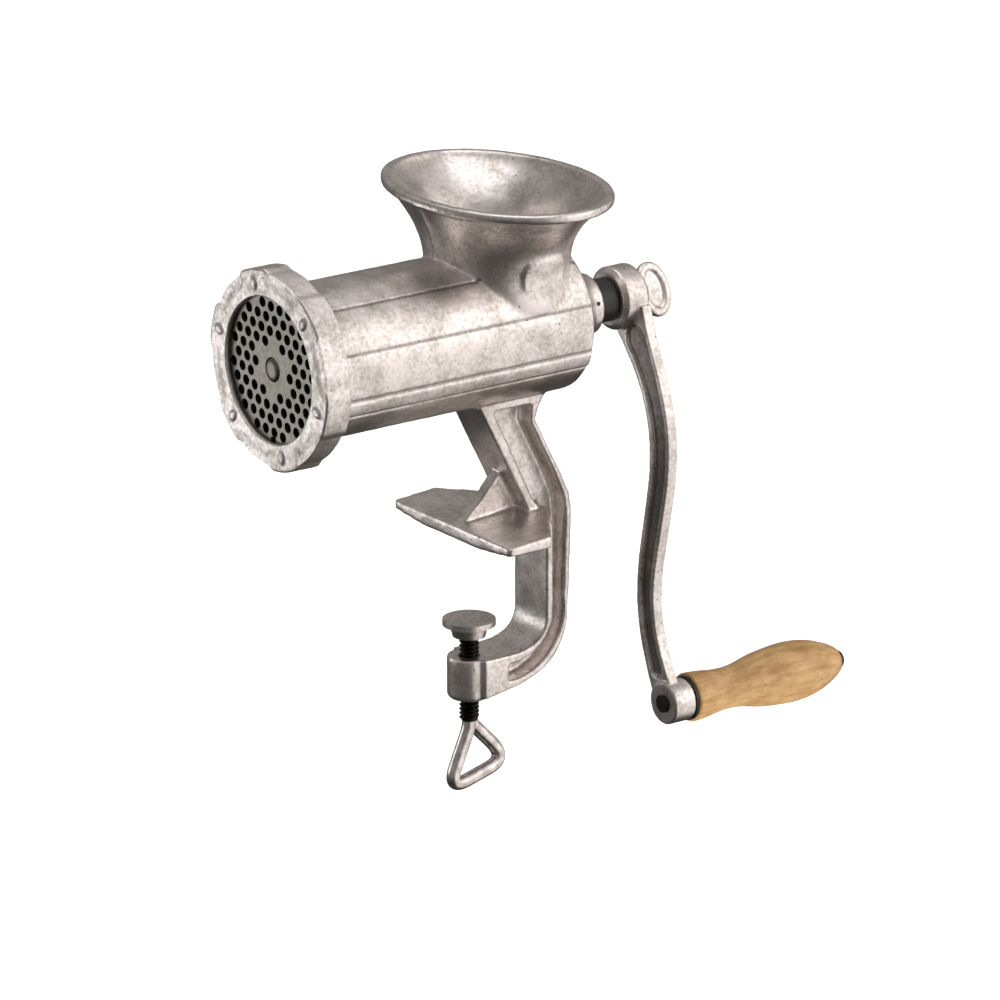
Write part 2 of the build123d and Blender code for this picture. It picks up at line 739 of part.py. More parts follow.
# ---- clamp screw: a rod bent into a loop, and its swivel pad ---------------------------------------
pad_bottom_z = pad_top_z - pad_thick
screw_tip_z = pad_bottom_z + pad_socket - face_gap
clip_z = pad_bottom_z + 1.4
tip_groove_r = screw_tip_r - 0.8
clip_r = screw_tip_r + 1.0
with BuildPart() as clamp_screw:
    with BuildLine() as loop_path:
        FilletPolyline(
            (0, 0, screw_shank_end_z + 4.0),
            (0, 0, screw_shank_end_z - 3.0),
            (2.0, -13.5, -118.5),
            (0.5, 20.8, -110.5),
            (-4.5, 4.5, -92.0),
            radius=4.5,
        )
    with BuildSketch(Plane((0, 0, screw_shank_end_z + 4.0), z_dir=(0, 0, -1))):
        Circle(loop_rod_r)
    sweep()
    with BuildSketch(Plane.XY.offset(screw_shank_end_z)):
        Circle(screw_r)
    extrude(amount=pad_bottom_z - face_gap - screw_shank_end_z)
    with BuildSketch(Plane.XY.offset(pad_bottom_z - face_gap - small)):
        Circle(screw_tip_r)
    extrude(amount=screw_tip_z - pad_bottom_z + face_gap + small)
    with BuildSketch(Plane.XY.offset(clip_z - face_gap)):
        Circle(screw_tip_r + small)
        Circle(tip_groove_r, mode=Mode.SUBTRACT)
    extrude(amount=clip_thick + 2 * face_gap, mode=Mode.SUBTRACT)
save(clamp_screw.part, "clamp_screw")

with BuildPart() as clamp_pad:
    with BuildSketch(Plane.XZ):
        with BuildLine():
            Polyline(
                (0, pad_bottom_z + pad_socket),
                (screw_tip_r + run_gap, pad_bottom_z + pad_socket),
                (screw_tip_r + run_gap, clip_z + clip_thick),
                (clip_r, clip_z + clip_thick),
                (clip_r, clip_z),
                (screw_tip_r + run_gap, clip_z),
                (screw_tip_r + run_gap, pad_bottom_z),
                (pad_r - 4.5, pad_bottom_z),
                (pad_r - 3.5, pad_top_z - 4.0),
                (pad_r, pad_top_z - 2.6),
                (pad_r, pad_top_z),
                (0, pad_top_z),
                close=True,
            )
        make_face()
    revolve(axis=Axis.Z)
save(clamp_pad.part, "clamp_pad")

with BuildPart() as pad_retaining_ring:
    with BuildSketch(Plane.XY.offset(clip_z)):
        Circle(clip_r)
        Circle(tip_groove_r + run_gap, mode=Mode.SUBTRACT)
    extrude(amount=clip_thick)
save(pad_retaining_ring.part, "pad_retaining_ring")
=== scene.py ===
"""The finished look of a hand crank meat grinder, laid out as an add-on and run as a script.

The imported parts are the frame, in metres: +Z up, the barrel along Y with its outlet at -Y.
Each operator makes one piece, or gives like pieces their finish.
"""
import json
import math

import bmesh
import bpy
import numpy as np
from bpy.props import FloatProperty, FloatVectorProperty, IntProperty, PointerProperty
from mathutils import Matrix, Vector


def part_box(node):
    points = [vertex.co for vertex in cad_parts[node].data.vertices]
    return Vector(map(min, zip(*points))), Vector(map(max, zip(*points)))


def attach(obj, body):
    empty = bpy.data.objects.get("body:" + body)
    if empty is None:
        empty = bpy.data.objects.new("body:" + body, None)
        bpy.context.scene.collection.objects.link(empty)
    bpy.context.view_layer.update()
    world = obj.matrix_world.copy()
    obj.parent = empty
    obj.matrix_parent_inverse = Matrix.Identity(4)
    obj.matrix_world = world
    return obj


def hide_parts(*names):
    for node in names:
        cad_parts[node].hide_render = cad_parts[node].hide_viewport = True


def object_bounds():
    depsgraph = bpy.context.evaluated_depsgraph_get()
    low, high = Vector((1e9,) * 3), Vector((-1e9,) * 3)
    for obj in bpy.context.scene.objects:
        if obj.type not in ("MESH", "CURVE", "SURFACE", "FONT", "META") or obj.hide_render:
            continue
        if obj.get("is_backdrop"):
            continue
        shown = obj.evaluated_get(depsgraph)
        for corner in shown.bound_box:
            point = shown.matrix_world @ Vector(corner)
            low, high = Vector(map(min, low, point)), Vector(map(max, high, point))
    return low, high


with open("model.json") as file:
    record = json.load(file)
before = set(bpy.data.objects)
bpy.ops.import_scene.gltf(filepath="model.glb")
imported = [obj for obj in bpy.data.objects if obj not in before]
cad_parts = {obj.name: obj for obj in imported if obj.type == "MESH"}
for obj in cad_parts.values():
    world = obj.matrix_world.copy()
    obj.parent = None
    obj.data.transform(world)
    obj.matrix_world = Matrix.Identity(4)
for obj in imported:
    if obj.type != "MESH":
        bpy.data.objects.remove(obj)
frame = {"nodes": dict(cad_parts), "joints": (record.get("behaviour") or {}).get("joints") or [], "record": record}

bl_info = {
    "name": "Hand Crank Meat Grinder",
    "version": (1, 0, 0),
    "blender": (4, 5, 0),
    "location": "View3D > Sidebar > Grinder",
    "description": "Makes the cast, turned and bent pieces of a hand crank meat grinder and its stage",
    "category": "Object",
}

MM = 0.001
TURN = 2 * math.pi
JOINTS = {joint["name"]: joint for joint in frame["joints"]}
AXIS_Z = JOINTS["feed_screw_turn"]["pos_m"][2]
GRIP_X, _, GRIP_Z = JOINTS["grip_turn"]["pos_m"]
CAD_LOW, CAD_HIGH = (list(corner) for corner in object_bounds())
X, Y, Z = np.eye(3)


def srgb(text):
    """Linear colour of an sRGB hex value."""
    channels = [int(text[i:i + 2], 16) / 255 for i in (1, 3, 5)]
    return tuple(c / 12.92 if c <= 0.04045 else ((c + 0.055) / 1.055) ** 2.4 for c in channels)


# ---- what a user would change -----------------------------------------------------------------
class GrinderSizes(bpy.types.PropertyGroup):
    """Sizes of the cast and turned detail."""
    casting_voxel: FloatProperty(
        name="Body Voxel", description="Grid of the body casting's fillets",
        default=0.75 * MM, unit="LENGTH", precision=5)
    fine_voxel: FloatProperty(
        name="Small Casting Voxel", description="Grid of the crank's and thumb screw's fillets",
        default=0.42 * MM, unit="LENGTH", precision=5)
    groove_depth: FloatProperty(
        name="Groove Depth", description="Depth of the mould lines along the barrel",
        default=0.45 * MM, unit="LENGTH", precision=5)
    rib_height: FloatProperty(
        name="Rib Height", description="Height of the raised band along the barrel",
        default=0.9 * MM, unit="LENGTH", precision=5)
    bead_radius: FloatProperty(
        name="Bead Radius", description="Radius of the round bead on the hopper's rim",
        default=2.3 * MM, unit="LENGTH", precision=5)
    ring_opening: FloatProperty(
        name="Ring Opening", description="Radius of the ring nut's opening",
        default=32.5 * MM, unit="LENGTH", precision=5)
    ring_base: FloatProperty(
        name="Ring Radius", description="Radius of the ring nut between its lugs",
        default=43.4 * MM, unit="LENGTH", precision=5)
    ring_thread: FloatProperty(
        name="Ring Thread", description="Radius of the thread inside the ring nut",
        default=38.86 * MM, unit="LENGTH", precision=5)
    lug_width: FloatProperty(
        name="Lug Width", description="Width of each lug in degrees",
        default=27.0)
    lug_count: IntProperty(
        name="Lugs", description="Number of lugs round the ring nut", default=6, min=3)
    rod_radius: FloatProperty(
        name="Rod Radius", description="Radius of the clamp screw's bent rod",
        default=3.15 * MM, unit="LENGTH", precision=5)


class GrinderColours(bpy.types.PropertyGroup):
    """Colours of the finishes and the stage."""
    tin_bright: FloatVectorProperty(
        name="Bright Tin", description="Fresh tin", default=srgb("#ebe3e1"), subtype="COLOR")
    tin_dull: FloatVectorProperty(
        name="Dull Tin", description="Tin that has dulled", default=srgb("#b9b3aa"), subtype="COLOR")
    plate_steel: FloatVectorProperty(
        name="Plate Steel", description="Ground steel of the plate and the knife",
        default=srgb("#8b8881"), subtype="COLOR")
    beech_light: FloatVectorProperty(
        name="Light Wood", description="Early wood of the grip",
        default=srgb("#d6ae78"), subtype="COLOR")
    beech_dark: FloatVectorProperty(
        name="Dark Wood", description="Late wood of the grip", default=srgb("#b08549"), subtype="COLOR")
    floor: FloatVectorProperty(
        name="Floor", description="Pale floor", default=srgb("#f6f4f2"), subtype="COLOR")


def sizes():
    """The sizes a user can change."""
    return bpy.context.scene.grinder_sizes


def colours():
    """The colours a user can change."""
    return bpy.context.scene.grinder_colours


# ---- surfaces -----------------------------------------------------------------------------------
def smooth_step(value):
    """0 below 0, 1 above 1, and 3t^2 - 2t^3 between."""
    t = np.clip(value, 0, 1)
    return t * t * (3 - 2 * t)


def shell(name, grid, looped=False, sharp=50):
    """Mesh of a grid of points: each row is a closed ring, and rows of one point close the ends.

    looped joins the last row to the first, for a shape like a torus.
    """
    rows, columns = grid.shape[:2]
    index = np.arange(rows * columns).reshape(rows, columns)
    if looped:
        index = np.vstack([index, index[:1]])
    near, far = index[:-1], index[1:]
    quads = np.stack([near, np.roll(near, -1, 1), np.roll(far, -1, 1), far], axis=-1)
    mesh = bpy.data.meshes.new(name)
    mesh.from_pydata(grid.reshape(-1, 3).tolist(), [], quads.reshape(-1, 4).tolist())
    piece = bpy.data.objects.new(name, mesh)
    bpy.context.scene.collection.objects.link(piece)
    tidy_mesh(mesh, sharp)
    return piece


def tidy_mesh(mesh, sharp=50, weld=2e-6):
    """Close seams and poles, point the faces outwards and shade smooth up to an angle."""
    work = bmesh.new()
    work.from_mesh(mesh)
    bmesh.ops.remove_doubles(work, verts=work.verts, dist=weld)
    bmesh.ops.recalc_face_normals(work, faces=work.faces)
    work.to_mesh(mesh)
    work.free()
    mesh.shade_smooth()
    mesh.set_sharp_from_angle(angle=math.radians(sharp))


def turned(profile, centre, axis, columns=160):
    """Points of a profile turned round an axis: point = centre + along*axis + r*(cos t, sin t).

    profile holds (radius, along); the angle runs by the right-hand rule about the axis.
    """
    side = X if abs(axis @ X) < 0.9 else Y
    other = np.cross(axis, side)
    angle = np.linspace(0, TURN, columns, endpoint=False)
    circle = np.cos(angle)[:, None] * side + np.sin(angle)[:, None] * other
    radius, along = profile[:, 0], profile[:, 1]
    return centre + along[:, None, None] * axis + radius[:, None, None] * circle[None]


def swept(path, section, upright, scale=None):
    """Points of a section carried along a path: path + a*side + b*up at each place.

    side is square to the path and to the upright vector, and up is square to both.
    """
    tangent = np.gradient(path, axis=0)
    tangent /= np.linalg.norm(tangent, axis=1, keepdims=True)
    side = np.cross(tangent, upright)
    side /= np.linalg.norm(side, axis=1, keepdims=True)
    up = np.cross(side, tangent)
    size = np.ones(len(path)) if scale is None else scale
    across = section[None, :, 0, None] * side[:, None, :] + section[None, :, 1, None] * up[:, None, :]
    return path[:, None, :] + size[:, None, None] * across


def rounded_section(half_width, half_height, power, count):
    """A superellipse: x = a*sgn(cos)*|cos|^(2/p), y = b*sgn(sin)*|sin|^(2/p)."""
    angle = np.linspace(0, TURN, count, endpoint=False)
    cos, sin = np.cos(angle), np.sin(angle)
    return np.column_stack([
        half_width * np.sign(cos) * np.abs(cos) ** (2 / power),
        half_height * np.sign(sin) * np.abs(sin) ** (2 / power),
    ])


def rounded_loop(corners, radius, steps=6, closed=True):
    """A polygon whose corners are quadratic curves from a reach before to the same after each.

    The reach is the radius, or just under half of the shorter side where that is less.
    """
    corner = np.asarray(corners, float)
    before, after = np.roll(corner, 1, 0), np.roll(corner, -1, 0)
    run_before = np.linalg.norm(before - corner, axis=1, keepdims=True)
    run_after = np.linalg.norm(after - corner, axis=1, keepdims=True)
    reach = np.minimum(radius, 0.48 * np.minimum(run_before, run_after))[:, 0]
    if not closed:
        reach[[0, -1]] = 0
    to_before = (before - corner) / run_before
    to_after = (after - corner) / run_after
    start = corner + to_before * reach[:, None]
    end = corner + to_after * reach[:, None]
    t = np.linspace(0, 1, steps)[None, :, None]
    curve = (1 - t) ** 2 * start[:, None] + 2 * t * (1 - t) * corner[:, None] + t ** 2 * end[:, None]
    return curve.reshape(-1, corner.shape[1])


def evenly(points, step, closed=True):
    """Points of a line at equal steps of its length."""
    line = np.vstack([points, points[:1]]) if closed else points
    length = np.concatenate([[0], np.cumsum(np.linalg.norm(np.diff(line, axis=0), axis=1))])
    count = max(int(round(length[-1] / step)), 8)
    places = np.linspace(0, length[-1], count, endpoint=not closed)
    return np.column_stack([np.interp(places, length, line[:, i]) for i in range(line.shape[1])])


def flowing(points, per_span=14):
    """A Catmull-Rom curve through the points."""
    p = np.asarray(points, float)
    ends = np.vstack([2 * p[0] - p[1], p, 2 * p[-1] - p[-2]])
    a, b, c, d = ends[:-3, None], ends[1:-2, None], ends[2:-1, None], ends[3:, None]
    t = np.linspace(0, 1, per_span, endpoint=False)[None, :, None]
    curve = 0.5 * (2 * b + (c - a) * t + (2 * a - 5 * b + 4 * c - d) * t ** 2
                   + (3 * b - a - 3 * c + d) * t ** 3)
    return np.vstack([curve.reshape(-1, p.shape[1]), p[-1:]])


def threaded(start, axis, length, radius, depth, pitch, columns=64):
    """A right-hand threaded rod: the radius falls by depth away from the crest s = pitch*t/2pi.

    Both ends are chamfered by the thread's depth and close on the axis.
    """
    rows = int(length / pitch * 10)
    along = np.linspace(0, length, rows)
    grid = turned(np.column_stack([np.ones(rows), along]), np.zeros(3), axis, columns)
    circle = grid - along[:, None, None] * axis
    angle = np.linspace(0, 1, columns, endpoint=False)
    phase = (along[:, None] / pitch - angle[None, :]) % 1.0
    crest = np.clip(1.35 * np.abs(2 * phase - 1) - 0.15, 0, 1)
    edge = np.clip(np.minimum(along, length - along) / depth, 0, 1)[:, None]
    reach = radius - depth + depth * crest * edge
    body = np.asarray(start) + along[:, None, None] * axis + reach[..., None] * circle
    first = np.broadcast_to(np.asarray(start, float), (1, columns, 3))
    last = np.broadcast_to(np.asarray(start) + length * axis, (1, columns, 3))
    return np.vstack([first, body, last])


# ---- castings -------------------------------------------------------------------------------------
def joined(name, pieces):
    """One piece with the meshes of several, which are removed."""
    work = bmesh.new()
    for piece in pieces:
        work.from_mesh(piece.data)
        bpy.data.objects.remove(piece)
    mesh = bpy.data.meshes.new(name)
    work.to_mesh(mesh)
    work.free()
    mesh.shade_smooth()
    whole = bpy.data.objects.new(name, mesh)
    bpy.context.scene.collection.objects.link(whole)
    return whole


def blank_of(node, name):
    """A merged copy of a node's mesh, as the blank of a casting."""
    mesh = frame["nodes"][node].data.copy()
    mesh.materials.clear()
    piece = bpy.data.objects.new(name, mesh)
    bpy.context.scene.collection.objects.link(piece)
    tidy_mesh(mesh)
    return piece


def bake(piece):
    """Apply a piece's modifiers."""
    graph = bpy.context.evaluated_depsgraph_get()
    mesh = bpy.data.meshes.new_from_object(piece.evaluated_get(graph))
    piece.modifiers.clear()
    piece.data = mesh
    mesh.shade_smooth()


def fuse(piece, voxel, rounds):
    """Fuse overlapping shells and round their corners, as metal does in a sand mould."""
    remesh = piece.modifiers.new("fuse", "REMESH")
    remesh.mode = "VOXEL"
    remesh.voxel_size = voxel
    smooth = piece.modifiers.new("fillet", "SMOOTH")
    smooth.factor = 0.5
    smooth.iterations = rounds
    bake(piece)


def sand_cast(piece, grain, height, triangles):
    """Give a casting the low waves of its mould, then thin it to a number of triangles."""
    waves = bpy.data.textures.new(piece.name + "_waves", "CLOUDS")
    waves.noise_scale = grain
    waves.noise_depth = 2
    uneven = piece.modifiers.new("uneven", "DISPLACE")
    uneven.texture = waves
    uneven.texture_coords = "LOCAL"
    uneven.strength = height
    uneven.mid_level = 0.5
    faces = sum(len(polygon.vertices) - 2 for polygon in piece.data.polygons)
    if faces > triangles:
        thin = piece.modifiers.new("thin", "DECIMATE")
        thin.ratio = triangles / faces
    bake(piece)


def moved(mesh, change):
    """Move a mesh's points by a function of the whole array."""
    points = np.empty(len(mesh.vertices) * 3, np.float32)
    mesh.vertices.foreach_get("co", points)
    points = change(points.reshape(-1, 3).astype(float))
    mesh.vertices.foreach_set("co", points.astype(np.float32).ravel())
    mesh.update()


BARREL_R = 34.6 * MM
MOUTH_ROOT = 37.6 * MM          # root of the mouth's thread
MOUTH_LOW, MOUTH_HIGH = -103.5 * MM, -96.0 * MM     # ends of the mouth
BARREL_REAR = 43.0 * MM
PITCH = 3.0 * MM                # thread of the mouth and the ring nut
LEAN = math.radians(27)         # lean of the thumb screw's head from upright
FACE_GAP = 0.3 * MM             # clearance between faces that turn past each other
ARM_NEAR, ARM_FAR = 84.0 * MM, 89.2 * MM    # faces of the crank arm
THREAD_END = -88.0 * MM         # lower end of the clamp screw's thread
MOULD_LINES = (36.0, 72.0)      # degrees from the crown
BAND = (107.0, 121.0)           # edges of the raised band, degrees from the crown


def barrel_relief(points):
    """Mould lines and a raised band on the barrel, as a radial shift by angle from the crown.

    A line is a Gaussian groove, and the band is a plateau with smooth sides. Both fade out away
    from the barrel's own radius, so that the hopper, the leg and the bore keep their shape.
    """
    offset = points - np.array([0, 0, AXIS_Z])
    radius = np.hypot(offset[:, 0], offset[:, 2])
    angle = np.degrees(np.arctan2(np.abs(offset[:, 0]), offset[:, 2]))
    per_degree = BARREL_R * TURN / 360
    line_width = 0.8 * MM
    shift = np.zeros(len(points))
    for line in MOULD_LINES + BAND:
        shift -= sizes().groove_depth * np.exp(-((angle - line) * per_degree / line_width) ** 2)
    inside = np.minimum(angle - BAND[0], BAND[1] - angle) * per_degree
    shift += sizes().rib_height * smooth_step(inside / (1.2 * MM))
    near = 1 - smooth_step((np.abs(radius - BARREL_R) - 0.6 * MM) / (1.2 * MM))
    ends = smooth_step((points[:, 1] + 91 * MM) / (3 * MM))
    ends *= 1 - smooth_step((points[:, 1] - BARREL_REAR + 0.5 * MM) / (2 * MM))
    shift *= near * ends
    mouth = (points[:, 1] < MOUTH_HIGH + 1.0 * MM) & (radius > MOUTH_ROOT)
    shift[mouth] = MOUTH_ROOT - radius[mouth]
    offset[:, [0, 2]] *= (1 + shift / np.maximum(radius, MM))[:, None]
    return offset + np.array([0, 0, AXIS_Z])


HOPPER_Y = 15.5 * MM
HOPPER_PROFILE = np.array([     # height over the axis, half width, half length
    (29.0, 32.5, 32.5), (38.0, 34.6, 33.4), (46.5, 40.6, 35.6), (54.5, 49.6, 39.2), (61.0, 58.8, 43.2),
]) * MM


def hopper_bead():
    """The round bead of the rim: a circle carried round the rim's ellipse."""
    rim = 61.8 * MM, 44.8 * MM
    radius = sizes().bead_radius
    angle = np.linspace(0, TURN, 400, endpoint=False)[:, None]
    circle = np.linspace(0, TURN, 24, endpoint=False)[None, :]
    outward = radius * np.cos(circle) - radius - 0.25 * MM
    height = CAD_HIGH[2] - radius - 0.3 * MM + radius * np.sin(circle)
    grid = np.stack([
        (rim[0] + outward) * np.cos(angle),
        HOPPER_Y + (rim[1] + outward) * np.sin(angle),
        height + 0 * angle,
    ], axis=-1)
    return shell("bead", grid, looped=True)


def neck_pad():
    """A plain raised pad on the neck: a superellipse laid on the neck's cylinder, in three rows."""
    centre_angle, centre_z = math.radians(5), AXIS_Z + 28 * MM
    edge = rounded_section(12.0 * MM, 8.2 * MM, 3.2, 64)
    radius = HOPPER_PROFILE[0, 1]
    rows = [(0.0, -2.0), (1.0, -2.0), (1.0, 0.5), (0.93, 0.95), (0.0, 0.95)]
    share = np.array([row[0] for row in rows])[:, None]
    proud = np.array([row[1] for row in rows])[:, None] * MM
    angle = centre_angle + share * edge[None, :, 0] / radius
    height = centre_z + share * edge[None, :, 1]
    flare = np.interp(height - AXIS_Z, HOPPER_PROFILE[:, 0], HOPPER_PROFILE[:, 1])
    reach = flare + proud
    grid = np.stack([reach * np.cos(angle), HOPPER_Y + reach * np.sin(angle), height], axis=-1)
    return shell("pad", grid)


def neck_seam(side):
    """The mould's parting line: a thin round rib up the front or the back of the hopper."""
    line = flowing(HOPPER_PROFILE[:, [0, 2]], 12)
    path = np.column_stack([
        np.zeros(len(line)), HOPPER_Y + side * (line[:, 1] + 0.1 * MM), AXIS_Z + line[:, 0]])
    ends = np.ones(len(path))
    ends[[0, -1]] = 0
    return shell("seam", swept(path, rounded_section(0.8 * MM, 0.8 * MM, 2, 12), X, ends))


def mouth_thread():
    """The thread of the mouth: a band whose outer wall follows a right-hand helix."""
    depth, inner = 0.7 * MM, 36.5 * MM
    loop = evenly(rounded_loop([
        (inner, MOUTH_LOW + 0.2 * MM), (MOUTH_ROOT, MOUTH_LOW + 0.2 * MM),
        (MOUTH_ROOT, MOUTH_HIGH), (inner, MOUTH_HIGH)], 0.3 * MM), 0.3 * MM)
    columns = np.linspace(0, 1, 360, endpoint=False)[None, :]
    along = loop[:, 1][:, None]
    grid = turned(np.column_stack([loop[:, 0], -loop[:, 1]]), AXIS_Z * Z, -Y, 360)
    crest = np.abs(2 * ((-along / PITCH - columns) % 1.0) - 1)
    wall = smooth_step((loop[:, 0] - MOUTH_ROOT + 0.5 * MM) / (0.4 * MM))[:, None]
    lift = depth * crest * wall
    outward = grid - AXIS_Z * Z
    outward[..., 1] = 0
    outward /= np.linalg.norm(outward, axis=-1, keepdims=True)
    return shell("thread", grid + lift[..., None] * outward, looped=True)


def finish_piece(piece, node, body, material):
    """A finished piece stands for its node, rides on its body and takes a finish."""
    piece.data.materials.clear()
    piece.data.materials.append(material)
    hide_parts(node)
    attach(piece, body)


# ---- finishes -------------------------------------------------------------------------------------
def add_node(tree, kind, links=None, **settings):
    """Add a node with its settings (attributes or inputs) and the sockets linked to its inputs."""
    node = tree.nodes.new(kind)
    for key, value in settings.items():
        if hasattr(node, key):
            setattr(node, key, value)
        else:
            node.inputs[key.replace("_", " ")].default_value = value
    for key, socket in (links or {}).items():
        tree.links.new(socket, node.inputs[key])
    return node


def new_material(name):
    """An empty node material with its output, its tree and its object coordinates."""
    material = bpy.data.materials.new(name)
    material.use_nodes = True
    tree = material.node_tree
    tree.nodes.clear()
    place = add_node(tree, "ShaderNodeTexCoord").outputs["Object"]
    return material, tree, place


def shaded(material, tree, links, **settings):
    """Close a material with one principled shader."""
    shader = add_node(tree, "ShaderNodeBsdfPrincipled", links)
    for key, value in settings.items():
        shader.inputs[key.replace("_", " ")].default_value = value
    add_node(tree, "ShaderNodeOutputMaterial", {"Surface": shader.outputs[0]})
    return material


def per_size(size_mm):
    """Texture scale that gives features of a size in millimetres."""
    return 1 / (size_mm * MM)


def maths(tree, operation, *terms):
    """A math node on sockets and numbers."""
    node = add_node(tree, "ShaderNodeMath", operation=operation)
    for place, term in enumerate(terms):
        if isinstance(term, (int, float)):
            node.inputs[place].default_value = term
        else:
            tree.links.new(term, node.inputs[place])
    return node.outputs[0]


def noise(tree, place, size_mm, detail, roughness=0.5):
    """Fractal noise with features of a size in millimetres."""
    return add_node(
        tree, "ShaderNodeTexNoise", {"Vector": place},
        Scale=per_size(size_mm), Detail=detail, Roughness=roughness).outputs[0]


def spread(tree, value, start, end, low=0.0, high=1.0):
    """A straight line from start at low to end at high, flat outside them."""
    return add_node(
        tree, "ShaderNodeMapRange", {"Value": value},
        From_Min=low, From_Max=high, To_Min=start, To_Max=end).outputs[0]


def rising(tree, value, low, high):
    """A smooth step from 0 at low to 1 at high."""
    return add_node(
        tree, "ShaderNodeMapRange", {"Value": value},
        interpolation_type="SMOOTHSTEP", From_Min=low, From_Max=high).outputs[0]


def blended(tree, factor, dark, light):
    """A mix from a dark colour at 0 to a light socket at 1."""
    node = add_node(tree, "ShaderNodeMix", {0: factor, 7: light}, data_type="RGBA")
    node.inputs[6].default_value = (*dark, 1)
    return node.outputs[2]


def two_tones(tree, factor, dark, light, low=0.35, high=0.65):
    """A colour ramp from dark to light."""
    ramp = add_node(tree, "ShaderNodeValToRGB", {"Fac": factor})
    ramp.color_ramp.elements[0].position = low
    ramp.color_ramp.elements[0].color = (*dark, 1)
    ramp.color_ramp.elements[1].position = high
    ramp.color_ramp.elements[1].color = (*light, 1)
    return ramp.outputs["Color"]


def barrel_shade(tree, place):
    """0 in the dark gap behind the ring nut, 0.45 in the barrel's mould lines, and 1 elsewhere.

    A line lies where |angle from the crown - line| * radius is under 0.4 mm, on the barrel only.
    """
    axes = add_node(tree, "ShaderNodeSeparateXYZ", {0: place}).outputs
    level = maths(tree, "ABSOLUTE", axes[0])
    height = maths(tree, "SUBTRACT", axes[2], AXIS_Z)
    angle = maths(tree, "ARCTAN2", level, height)
    radius = maths(
        tree, "SQRT", maths(
            tree, "ADD", maths(tree, "POWER", level, 2.0), maths(tree, "MULTIPLY", height, height)))
    clear = rising(tree, radius, BARREL_R + 1.1 * MM, BARREL_R + 1.9 * MM)
    clear = maths(tree, "MAXIMUM", clear, rising(tree, axes[1], BARREL_REAR - MM, BARREL_REAR + MM))
    off_line = None
    for line in MOULD_LINES + BAND:
        away = maths(tree, "ABSOLUTE", maths(tree, "SUBTRACT", angle, math.radians(line)))
        edge = rising(tree, away, 0.35 * MM / BARREL_R, 0.95 * MM / BARREL_R)
        off_line = edge if off_line is None else maths(tree, "MINIMUM", off_line, edge)
    clear = maths(tree, "MAXIMUM", clear, maths(tree, "MULTIPLY_ADD", off_line, 0.55, 0.45))
    return maths(tree, "MULTIPLY", clear, rising(tree, axes[1], -93.2 * MM, -91.2 * MM))


def channel_shade(tree, place):
    """0.3 on the floors of the crank arm's two channels, and 1 elsewhere.

    A floor lies between the arm's two faces and looks along Y.
    """
    along = add_node(tree, "ShaderNodeSeparateXYZ", {0: place}).outputs[1]
    normal = add_node(tree, "ShaderNodeTexCoord").outputs["Normal"]
    facing = add_node(tree, "ShaderNodeSeparateXYZ", {0: normal}).outputs[1]
    inside = maths(
        tree, "MULTIPLY", rising(tree, along, ARM_NEAR + 0.3 * MM, ARM_NEAR + 0.9 * MM),
        rising(tree, along, ARM_FAR - 0.3 * MM, ARM_FAR - 0.9 * MM))
    floor = maths(tree, "MULTIPLY", inside, rising(tree, maths(tree, "ABSOLUTE", facing), 0.3, 0.7))
    return maths(tree, "MULTIPLY_ADD", floor, -0.7, 1.0)


def tinned_cast_iron(name="hot_dipped_tinned_cast_iron", coarse=1.0, shade=None):
    """Sand-cast iron dipped in tin: bright and slightly warm, with 1.8 mm mottles of duller tin,
    0.8 mm sand grain that breaks up the reflections, and a few small dark pits."""
    material, tree, place = new_material(name)
    mottle = noise(tree, place, 1.8, 5.0, 0.6)
    cloud = noise(tree, place, 13.0, 3.0, 0.5)
    grain = noise(tree, place, 0.8, 3.0, 0.6)
    cells = add_node(
        tree, "ShaderNodeTexVoronoi", {"Vector": place}, Scale=per_size(5.2)).outputs["Distance"]
    pit = maths(
        tree, "MAXIMUM", rising(tree, cells, 0.03, 0.11), rising(tree, cloud, 0.54, 0.47))
    half = maths(tree, "MULTIPLY", maths(tree, "ADD", mottle, cloud), 0.5)
    tone = two_tones(tree, half, colours().tin_dull, colours().tin_bright, 0.38, 0.58)
    tone = blended(tree, pit, srgb("#57534a"), tone)
    if shade is not None:
        tone = blended(tree, shade(tree, place), srgb("#38342d"), tone)
    rough = spread(tree, mottle, 0.40 * coarse, 0.27 * coarse, 0.3, 0.7)
    sand = add_node(
        tree, "ShaderNodeBump", {"Height": grain}, Strength=0.32, Distance=0.2 * MM * coarse)
    holes = add_node(
        tree, "ShaderNodeBump", {"Height": pit, "Normal": sand.outputs[0]},
        Strength=0.5, Distance=0.25 * MM)
    soft = add_node(
        tree, "ShaderNodeBump", {"Height": cloud, "Normal": holes.outputs[0]},
        Strength=0.35, Distance=0.8 * MM)
    return shaded(
        material, tree, {"Base Color": tone, "Roughness": rough, "Normal": soft.outputs[0]},
        Metallic=1.0)


def ground_steel():
    """Carbon steel plate, surface ground: grey, with fine parallel grinding lines 0.25 mm apart
    and a thin film of oil that mottles its gloss."""
    material, tree, place = new_material("surface_ground_carbon_steel")
    stretch = add_node(tree, "ShaderNodeMapping", {"Vector": place}, Scale=(40.0, 40.0, 1.0))
    lines = noise(tree, stretch.outputs[0], 12.0, 2.0)
    film = noise(tree, place, 3.0, 4.0)
    tone = two_tones(tree, film, srgb("#716e66"), colours().plate_steel)
    rough = spread(tree, film, 0.30, 0.46)
    bump = add_node(tree, "ShaderNodeBump", {"Height": lines}, Strength=0.25, Distance=0.05 * MM)
    return shaded(
        material, tree, {"Base Color": tone, "Roughness": rough, "Normal": bump.outputs[0]},
        Metallic=1.0)


